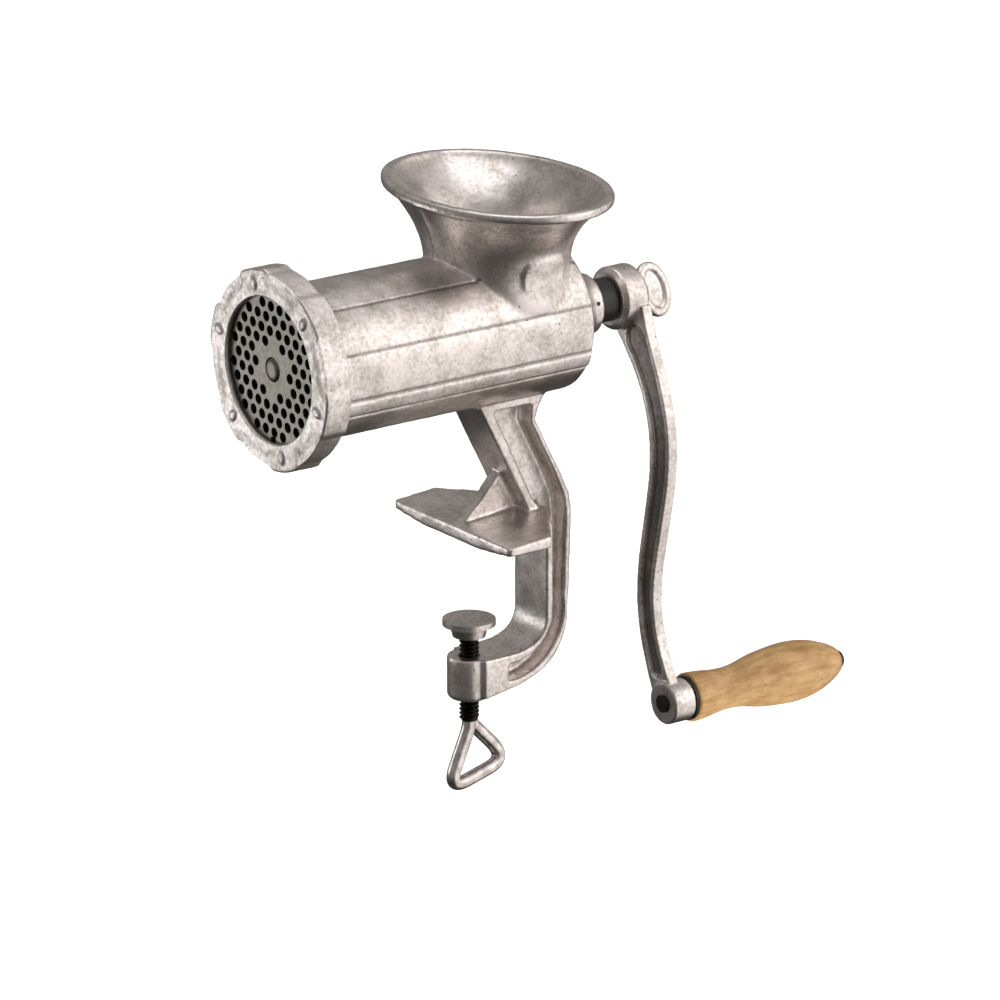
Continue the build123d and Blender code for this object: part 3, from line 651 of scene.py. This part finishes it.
def turned_steel(name, colour, roughness):
    """Steel turned on a lathe: fine tool marks 0.3 mm apart, drawn as noise squeezed along Y."""
    material, tree, place = new_material(name)
    squeeze = add_node(tree, "ShaderNodeMapping", {"Vector": place}, Scale=(0.15, 6.0, 0.15))
    marks = noise(tree, squeeze.outputs[0], 2.0, 2.0)
    spots = noise(tree, place, 2.5, 4.0)
    tone = two_tones(tree, spots, [0.62 * c for c in colour], colour)
    bump = add_node(tree, "ShaderNodeBump", {"Height": marks}, Strength=0.2, Distance=0.06 * MM)
    rough = spread(tree, spots, roughness - 0.08, roughness + 0.1)
    return shaded(
        material, tree, {"Base Color": tone, "Roughness": rough, "Normal": bump.outputs[0]},
        Metallic=1.0)


def zinc_plated_rod():
    """Mild steel rod, cold bent and zinc plated: bright and smooth, and a dark brown-grey on the
    thread above the loop."""
    material, tree, place = new_material("zinc_plated_bent_rod")
    cloud = noise(tree, place, 4.0, 4.0)
    height = add_node(tree, "ShaderNodeSeparateXYZ", {0: place}).outputs[2]
    # 1 on the rod below the thread's lower end and 0 on the thread, which takes the dark brown-grey colour
    below_thread = rising(tree, height, THREAD_END + 0.4 * MM, THREAD_END - 0.4 * MM)
    tone = two_tones(tree, cloud, srgb("#b5aea9"), srgb("#e9e2df"))
    tone = blended(tree, below_thread, srgb("#2b2824"), tone)
    rough = spread(tree, cloud, 0.16, 0.32)
    bump = add_node(tree, "ShaderNodeBump", {"Height": cloud}, Strength=0.2, Distance=0.2 * MM)
    return shaded(
        material, tree, {"Base Color": tone, "Roughness": rough, "Normal": bump.outputs[0]},
        Metallic=1.0)


def moulded_nylon(name, dark, light):
    """Nylon from a spark-eroded mould: an even colour with a fine 0.4 mm matt grain."""
    material, tree, place = new_material(name)
    grain = noise(tree, place, 0.4, 2.0)
    tone = two_tones(tree, grain, dark, light)
    bump = add_node(tree, "ShaderNodeBump", {"Height": grain}, Strength=0.25, Distance=0.08 * MM)
    return shaded(
        material, tree, {"Base Color": tone, "Normal": bump.outputs[0]},
        Roughness=0.42, IOR=1.53)


def oiled_beech():
    """Beech turned on a lathe and oiled: straight grain along the grip 1.5 mm apart, short dark
    flecks, and hands that have browned it in soft patches."""
    material, tree, place = new_material("oiled_turned_beech")
    colour = colours()
    grip = add_node(tree, "ShaderNodeMapping", {"Vector": place}, Scale=(1.0, 0.085, 1.0))
    warp = add_node(
        tree, "ShaderNodeTexNoise", {"Vector": place}, Scale=per_size(26.0), Detail=2.0)
    bent = add_node(
        tree, "ShaderNodeVectorMath", {0: warp.outputs["Color"]}, operation="SCALE", Scale=0.006)
    grain_place = add_node(
        tree, "ShaderNodeVectorMath", {0: grip.outputs[0], 1: bent.outputs[0]}, operation="ADD")
    grain = noise(tree, grain_place.outputs[0], 2.6, 6.0, 0.6)
    fleck_place = add_node(tree, "ShaderNodeMapping", {"Vector": place}, Scale=(1.0, 0.16, 1.0))
    fleck = add_node(
        tree, "ShaderNodeTexVoronoi", {"Vector": fleck_place.outputs[0]},
        Scale=per_size(1.1)).outputs["Distance"]
    fleck = rising(tree, fleck, 0.05, 0.22)
    patches = noise(tree, place, 11.0, 4.0)
    base = two_tones(tree, grain, colour.beech_dark, colour.beech_light, 0.28, 0.62)
    browned = two_tones(tree, patches, srgb("#b98d55"), srgb("#ffffff"), 0.34, 0.60)
    worn = add_node(
        tree, "ShaderNodeMix", {6: base, 7: browned}, data_type="RGBA", blend_type="MULTIPLY")
    worn.inputs[0].default_value = 0.42
    flecked = blended(tree, fleck, srgb("#a6753c"), worn.outputs[2])
    rough = spread(tree, patches, 0.36, 0.55)
    pores = add_node(tree, "ShaderNodeBump", {"Height": grain}, Strength=0.3, Distance=0.12 * MM)
    return shaded(
        material, tree,
        {"Base Color": flecked, "Roughness": rough, "Normal": pores.outputs[0]},
        IOR=1.47, Coat_Weight=0.12, Coat_Roughness=0.3)


FINISHES = {}


def finish(name):
    """The finish of one material slot, made once."""
    makers = {
        "tinned_iron": tinned_cast_iron,
        "plate_steel": ground_steel,
        "machined_steel": lambda: turned_steel("turned_mild_steel", srgb("#86827a"), 0.34),
        "plated_wire": zinc_plated_rod,
        "black_nylon": lambda: moulded_nylon("black_moulded_nylon", srgb("#101010"), srgb("#1c1b1a")),
        "white_nylon": lambda: moulded_nylon("natural_nylon", srgb("#d6d2c6"), srgb("#e6e3da")),
        "turned_wood": oiled_beech,
        "dark_steel": lambda: turned_steel("blackened_steel", srgb("#4a4741"), 0.38),
    }
    if name not in FINISHES:
        FINISHES[name] = makers[name]()
    return FINISHES[name]


# ---- operators ------------------------------------------------------------------------------------
class GRINDER_OT_body_casting(bpy.types.Operator):
    """Make the body casting: barrel, hopper, leg, foot and clamp in one piece of tinned iron"""
    bl_idname = "grinder.body_casting"
    bl_label = "Body Casting"

    def execute(self, context):
        blank = blank_of("body_casting", "blank")
        parts = [blank, hopper_bead(), neck_pad(), neck_seam(-1), neck_seam(1)]
        body = joined("cast_body", parts)
        voxel = sizes().casting_voxel
        fuse(body, voxel, 9)
        moved(body.data, barrel_relief)
        sand_cast(body, 7 * MM, 0.28 * MM, 185000)
        body = joined("cast_body", [body, mouth_thread()])
        metal = tinned_cast_iron("tinned_cast_body", shade=barrel_shade)
        finish_piece(body, "body_casting", "housing", metal)
        return {"FINISHED"}


class GRINDER_OT_ring_nut(bpy.types.Operator):
    """Make the ring nut: a turned section with lugs outside, a thread inside and a boss at each lug"""
    bl_idname = "grinder.ring_nut"
    bl_label = "Ring Nut"

    def execute(self, context):
        size = sizes()
        low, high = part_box("ring_nut")
        front = low.y + 0.98 * MM
        lip_back = low.y + 3.45 * MM
        lug_reach = max(high.x, high.z - AXIS_Z) - 0.2 * MM
        loop = evenly(rounded_loop([
            (size.ring_opening, front), (size.ring_base, front), (size.ring_base, high.y),
            (size.ring_thread, high.y), (size.ring_thread, lip_back), (size.ring_opening, lip_back),
        ], 0.9 * MM), 0.5 * MM)
        columns = 640
        radius = loop[:, 0][:, None]
        along = loop[:, 1][:, None]
        angle = np.linspace(0, TURN, columns, endpoint=False)[None, :]
        first_lug = math.radians(75)
        lug_step = TURN / size.lug_count
        from_lug = (angle - first_lug + lug_step / 2) % lug_step - lug_step / 2
        half_lug = math.radians(size.lug_width / 2)
        on_lug = smooth_step((half_lug + 0.06 - np.abs(from_lug)) / 0.12)
        outer = smooth_step((radius - size.ring_base + 2.6 * MM) / (2.2 * MM))
        grown = radius + (lug_reach - size.ring_base) * on_lug * outer
        # the boss: a short rounded ridge across the face
        ridge = np.hypot((radius - 38.2 * MM) / (3.3 * MM), radius * from_lug / (2.3 * MM))
        on_face = smooth_step((front + 0.5 * MM - along) / (0.4 * MM))
        raised = 0.84 * MM * (1 - smooth_step((ridge - 0.45) / 0.75)) * on_face
        sunk = 0.55 * MM * on_face * (1 - on_lug) * smooth_step((radius - 36 * MM) / (5 * MM))
        in_thread = (1 - smooth_step((radius - size.ring_thread - 0.3 * MM) / (0.3 * MM)))
        in_thread = in_thread * smooth_step((along - lip_back - 1.0 * MM) / MM)
        crest = 1 - np.abs(2 * ((-along / PITCH + angle / TURN) % 1.0) - 1)
        grown = grown - 0.5 * MM * crest * in_thread
        along = along - raised + sunk
        grid = np.stack([
            -grown * np.cos(angle), along + 0 * angle, AXIS_Z + grown * np.sin(angle)], axis=-1)
        ring = shell("cast_ring_nut", grid, looped=True)
        sand_cast(ring, 5 * MM, 0.3 * MM, 190000)
        metal = tinned_cast_iron("rough_tinned_cast_iron", coarse=1.3)
        finish_piece(ring, "ring_nut", "ring_body", metal)
        return {"FINISHED"}


class GRINDER_OT_crank(bpy.types.Operator):
    """Make the crank: hub, channelled arm and eye with cast fillets"""
    bl_idname = "grinder.crank"
    bl_label = "Crank"

    def execute(self, context):
        crank = joined("cast_crank", [blank_of("crank_arm", "blank")])
        fuse(crank, sizes().fine_voxel, 7)
        sand_cast(crank, 6 * MM, 0.18 * MM, 150000)
        metal = tinned_cast_iron("tinned_cast_crank", shade=channel_shade)
        finish_piece(crank, "crank_arm", "crank", metal)
        return {"FINISHED"}


class GRINDER_OT_thumb_screw(bpy.types.Operator):
    """Make the thumb screw: an oval head with a raised rim on a collar, and its thread"""
    bl_idname = "grinder.thumb_screw"
    bl_label = "Thumb Screw"

    def execute(self, context):
        low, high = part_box("thumb_screw")
        tall = np.array([-math.sin(LEAN), 0, math.cos(LEAN)])
        facing = np.array([math.cos(LEAN), 0, math.sin(LEAN)])
        band = 2.15 * MM
        half_long, half_tall = 8.75 * MM - band, 12.75 * MM - band
        centre = np.array([0, high.y - band - half_long, AXIS_Z])
        angle = np.linspace(0, TURN, 160, endpoint=False)[:, None]
        path = centre + half_long * np.cos(angle) * Y + half_tall * np.sin(angle) * tall
        closed_path = np.vstack([path[-1:], path, path[:1]])
        section = rounded_section(band, band, 2.6, 32)
        loop = shell("loop", swept(closed_path, section, facing)[1:-1], looped=True)
        disc = np.array([0.0, 1.0, 1.0, 0.0])[:, None, None]
        thick = np.array([-0.8, -0.8, 0.8, 0.8])[:, None, None] * MM
        web = shell("web", centre + disc * (path - centre)[None] + thick * facing)
        head_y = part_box("thumb_screw_washer")[1].y + FACE_GAP
        collar = np.array([
            (0, 0.0), (5.4, 0.0), (6.0, 0.5), (6.0, 2.0), (5.2, 3.4), (4.2, 5.0), (0, 5.0)]) * MM
        neck = shell("neck", turned(collar, np.array([0, head_y, AXIS_Z]), Y, 64))
        head = joined("head", [loop, web, neck])
        fuse(head, 0.35 * MM, 6)
        sand_cast(head, 4 * MM, 0.12 * MM, 60000)
        start = np.array([0, low.y, AXIS_Z])
        thread = shell("thread", threaded(
            start, Y, head_y - low.y + MM, 3.85 * MM, 0.7 * MM, 1.25 * MM, 40))
        screw = joined("cast_thumb_screw", [head, thread])
        finish_piece(screw, "thumb_screw", "thumb_screw_body", finish("tinned_iron"))
        return {"FINISHED"}


class GRINDER_OT_clamp_screw(bpy.types.Operator):
    """Make the clamp screw: a rod bent into a loop under a threaded shank"""
    bl_idname = "grinder.clamp_screw"
    bl_label = "Clamp Screw"

    def execute(self, context):
        tip_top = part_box("clamp_screw")[1].z
        bends = np.array([
            (0, 0, -83.0), (0, 0, -91), (2.0, -13.5, -118.5),
            (0.5, 20.8, -110.5), (-4.5, 4.5, -92.0)]) * MM
        path = evenly(rounded_loop(bends, 11.5 * MM, 18, closed=False), 0.5 * MM, closed=False)
        radius = sizes().rod_radius
        # a short dome closes the rod's free end
        end = np.linspace(0, 1, 10)[1:]
        run = (path[-1] - path[-2]) / np.linalg.norm(path[-1] - path[-2])
        path = np.vstack([path, path[-1] + np.linspace(0.1, 1.2, 9)[:, None] * MM * run])
        taper = np.ones(len(path))
        taper[-9:] = np.sqrt(np.clip(1 - end ** 2, 0, 1))
        taper[0] = 0
        rod = shell("rod", swept(path, rounded_section(radius, radius, 2, 40), X, taper))
        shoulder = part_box("clamp_pad")[0].z - FACE_GAP
        thread = shell("thread", threaded(
            np.array([0, 0, THREAD_END]), Z, shoulder - THREAD_END, 4.5 * MM, 0.95 * MM, 2.0 * MM))
        top = (tip_top - shoulder) / MM
        tip = np.array([
            (0, -1.0), (3.2, -1.0), (3.2, 1.5), (2.4, 1.5),
            (2.4, 2.9), (3.2, 2.9), (3.2, top), (0, top)]) * MM
        tip_piece = shell("tip", turned(tip, np.array([0, 0, shoulder]), Z, 48))
        screw = joined("bent_clamp_screw", [rod, thread, tip_piece])
        screw.data.set_sharp_from_angle(angle=math.radians(40))
        finish_piece(screw, "clamp_screw", "clamp_screw_body", finish("plated_wire"))
        return {"FINISHED"}


class GRINDER_OT_wooden_grip(bpy.types.Operator):
    """Make the wooden grip: a profile turned round the grip's pin"""
    bl_idname = "grinder.wooden_grip"
    bl_label = "Wooden Grip"

    def execute(self, context):
        low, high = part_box("wooden_grip")
        bore = 3.06 * MM
        shape = np.array([
            (11.35, 0.9), (10.8, 8.0), (9.6, 18.0), (10.0, 28.0), (12.6, 41.0),
            (13.98, 58.0), (12.6, 70.0), (9.6, 79.0), (7.6, 83.2)]) * MM
        outer = flowing(shape, 16)
        outer[:, 1] = np.minimum(outer[:, 1], high.y - low.y)
        near = np.array([(bore / MM, 0), (10.5, 0), (11.1, 0.3)]) * MM
        far_y = (high.y - low.y) / MM
        far = np.array([(6.4, far_y - 0.9), (5.6, far_y - 0.25), (4.8, far_y), (bore / MM, far_y)]) * MM
        profile = np.vstack([near, outer, far])
        grip = shell("turned_wooden_grip", turned(
            profile, np.array([GRIP_X, low.y, GRIP_Z]), Y, 160), looped=True, sharp=60)
        finish_piece(grip, "wooden_grip", "grip_body", finish("turned_wood"))
        return {"FINISHED"}


class GRINDER_OT_fitted_pieces(bpy.types.Operator):
    """Give the plate, knife, auger, bushes, washers and pins their finish"""
    bl_idname = "grinder.fitted_pieces"
    bl_label = "Fitted Pieces"

    def execute(self, context):
        slots = {part["node"]: part["material_slot"] for part in frame["record"]["subparts"]}
        for name, node in frame["nodes"].items():
            material = finish(slots[name])
            if not node.data.materials:
                node.data.materials.append(material)
            for slot in node.material_slots:
                slot.material = material
        return {"FINISHED"}


class GRINDER_OT_stage(bpy.types.Operator):
    """Make the floor, the soft studio light and the camera"""
    bl_idname = "grinder.stage"
    bl_label = "Stage"

    def execute(self, context):
        self.floor()
        self.surroundings(context.scene)
        self.softbox("right_softbox", (1.05, 0.95, 0.55), (0, 0, 0), 1.0, 1.2)
        self.softbox("top_softbox", (-0.1, -0.2, 1.5), (0, 0, 0), 1.3, 6.0)
        self.softbox("outlet_softbox", (-0.27, -0.31, -0.015), (0, -0.108, AXIS_Z), 0.2, 0.22)
        self.camera(context.scene)
        context.scene.view_settings.view_transform = "Standard"
        return {"FINISHED"}

    def floor(self):
        """A round pale floor a little below the lowest reach of the clamp screw."""
        level = CAD_LOW[2] - 14 * MM
        reach = np.array([(0.0, level), (14.0, level)])
        floor = shell("floor", turned(reach, np.zeros(3), Z, 96)[::-1])
        material, tree, _ = new_material("painted_studio_floor")
        shaded(material, tree, {}, Base_Color=(*colours().floor, 1), Roughness=0.9,
               Emission_Color=(1, 1, 1, 1), Emission_Strength=0.74)
        floor.data.materials.append(material)
        floor.visible_glossy = False
        floor.visible_shadow = False
        floor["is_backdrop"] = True

    def surroundings(self, scene):
        """Studio walls as soft bright panels on a grey that falls off downwards.

        A panel is 0 outside its outer angle from its direction and full inside its inner angle.
        """
        world = bpy.data.worlds.new("studio_walls")
        world.use_nodes = True
        tree = world.node_tree
        tree.nodes.clear()
        toward = add_node(tree, "ShaderNodeTexCoord").outputs["Generated"]
        height = add_node(tree, "ShaderNodeSeparateXYZ", {0: toward}).outputs[2]
        level = spread(tree, height, 0.05, 0.40, -0.6, 0.8)
        panels = (
            ((0.72, 0.68, -0.02), 38, 66, 0.94),
            ((0.1, 0.3, 0.95), 8, 40, 0.22),
        )
        for direction, inner, outer, strength in panels:
            facing = add_node(tree, "ShaderNodeVectorMath", {0: toward}, operation="DOT_PRODUCT")
            facing.inputs[1].default_value = Vector(direction).normalized()
            panel = add_node(
                tree, "ShaderNodeMapRange", {"Value": facing.outputs["Value"]},
                interpolation_type="SMOOTHSTEP", From_Min=math.cos(math.radians(outer)),
                From_Max=math.cos(math.radians(inner)), To_Min=0.0, To_Max=strength)
            level = maths(tree, "ADD", level, panel.outputs[0])
        background = add_node(tree, "ShaderNodeBackground", {"Strength": level})
        background.inputs["Color"].default_value = (*srgb("#fffaf7"), 1)
        add_node(tree, "ShaderNodeOutputWorld", {"Surface": background.outputs[0]})
        scene.world = world

    def softbox(self, name, place, aim, size, power):
        """A square light that faces a place on the grinder."""
        lamp = bpy.data.lights.new(name, "AREA")
        lamp.size = size
        lamp.energy = power
        light = bpy.data.objects.new(name, lamp)
        light.location = place
        light.rotation_euler = (Vector(aim) - Vector(place)).to_track_quat("-Z", "Y").to_euler()
        bpy.context.scene.collection.objects.link(light)

    def camera(self, scene):
        """A long lens that looks down on the outlet from the front right."""
        azimuth, elevation, distance = math.radians(53.65), math.radians(18.23), 2.915
        aim = Vector((73.7, -37.1, 42.3)) * MM
        back = Vector((
            math.sin(azimuth) * math.cos(elevation),
            -math.cos(azimuth) * math.cos(elevation),
            math.sin(elevation)))
        lens = bpy.data.cameras.new("camera")
        lens.lens = 243.7
        lens.clip_end = 50
        camera = bpy.data.objects.new("camera", lens)
        camera.location = aim + back * distance
        camera.rotation_euler = (-back).to_track_quat("-Z", "Y").to_euler()
        scene.collection.objects.link(camera)
        scene.camera = camera


OPERATORS = (
    GRINDER_OT_stage,
    GRINDER_OT_fitted_pieces,
    GRINDER_OT_body_casting,
    GRINDER_OT_ring_nut,
    GRINDER_OT_crank,
    GRINDER_OT_thumb_screw,
    GRINDER_OT_clamp_screw,
    GRINDER_OT_wooden_grip,
)


class GRINDER_PT_panel(bpy.types.Panel):
    """Lists the pieces of the grinder"""
    bl_idname = "GRINDER_PT_panel"
    bl_label = "Meat Grinder"
    bl_space_type = "VIEW_3D"
    bl_region_type = "UI"
    bl_category = "Grinder"

    def draw(self, context):
        for group in (context.scene.grinder_sizes, context.scene.grinder_colours):
            for name in group.bl_rna.properties.keys():
                if name not in ("rna_type", "name"):
                    self.layout.prop(group, name)
        for operator in OPERATORS:
            self.layout.operator(operator.bl_idname)


CLASSES = (GrinderSizes, GrinderColours) + OPERATORS + (GRINDER_PT_panel,)


def register():
    """Register the classes and hang the settings on the scene."""
    for item in CLASSES:
        bpy.utils.register_class(item)
    bpy.types.Scene.grinder_sizes = PointerProperty(type=GrinderSizes)
    bpy.types.Scene.grinder_colours = PointerProperty(type=GrinderColours)


def unregister():
    """Take the settings off the scene and unregister the classes."""
    del bpy.types.Scene.grinder_colours
    del bpy.types.Scene.grinder_sizes
    for item in reversed(CLASSES):
        bpy.utils.unregister_class(item)


def main():
    """Make every piece."""
    register()
    for operator in OPERATORS:
        getattr(bpy.ops.grinder, operator.bl_idname.split(".")[1])()


if __name__ == "__main__":
    main()
